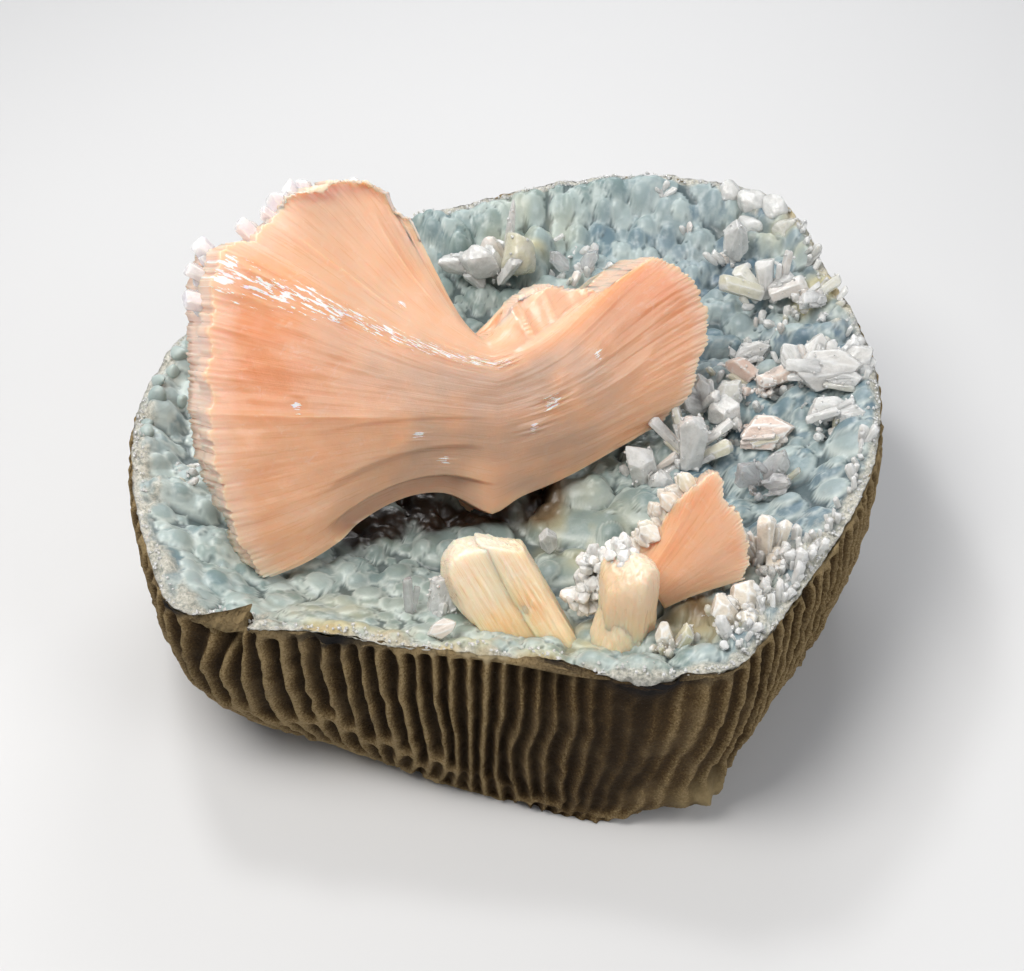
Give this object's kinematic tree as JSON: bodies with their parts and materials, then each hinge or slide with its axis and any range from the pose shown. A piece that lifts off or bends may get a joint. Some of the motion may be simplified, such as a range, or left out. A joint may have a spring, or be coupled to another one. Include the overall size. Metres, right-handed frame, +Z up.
{
  "type": "heulandite on chalcedony mineral specimen",
  "caption": "Half of a geode: a ribbed brown rock bowl lined with pale blue botryoidal chalcedony, with a large peach bow-tie crystal and small clear crystals growing in it.",
  "frame": {"origin": "the middle of the flat underside of the host rock", "axes": "+Z up out of the hollow, +X to the right of the usual view, +Y away from the viewer"},
  "size_m": [0.1306, 0.1241, 0.0821],
  "materials": {
    "rock": "rough, fluted, weathered",
    "chalcedony": "waxy, botryoidal",
    "peach_crystal": "pearly, translucent, finely striated",
    "blush_crystal": "pearly, translucent",
    "clear_crystal": "glassy, clear to milky"
  },
  "bodies": {
    "root": {"host_rock": "rock", "chalcedony_crust": "chalcedony", "bow_tie_crystal": "peach_crystal", "block_crystal": "peach_crystal", "fan_crystal": "peach_crystal", "blush_tablets": "blush_crystal", "blush_lens": "blush_crystal", "corner_cluster": "blush_crystal", "corner_nub": "blush_crystal", "lozenge_crystal": "clear_crystal", "back_right_cluster": "clear_crystal", "rim_blade": "clear_crystal", "rim_leaf_cluster": "clear_crystal", "thin_leaf": "clear_crystal", "middle_cluster": "clear_crystal", "coated_tablets": "clear_crystal", "white_block_cluster": "clear_crystal", "column_cluster": "clear_crystal", "small_leaf_cluster": "clear_crystal", "side_spray": "clear_crystal", "back_left_cluster": "clear_crystal", "back_spray": "clear_crystal", "front_needles": "clear_crystal", "front_leaf": "clear_crystal", "front_wedge": "clear_crystal"}
  },
  "joints": []
}
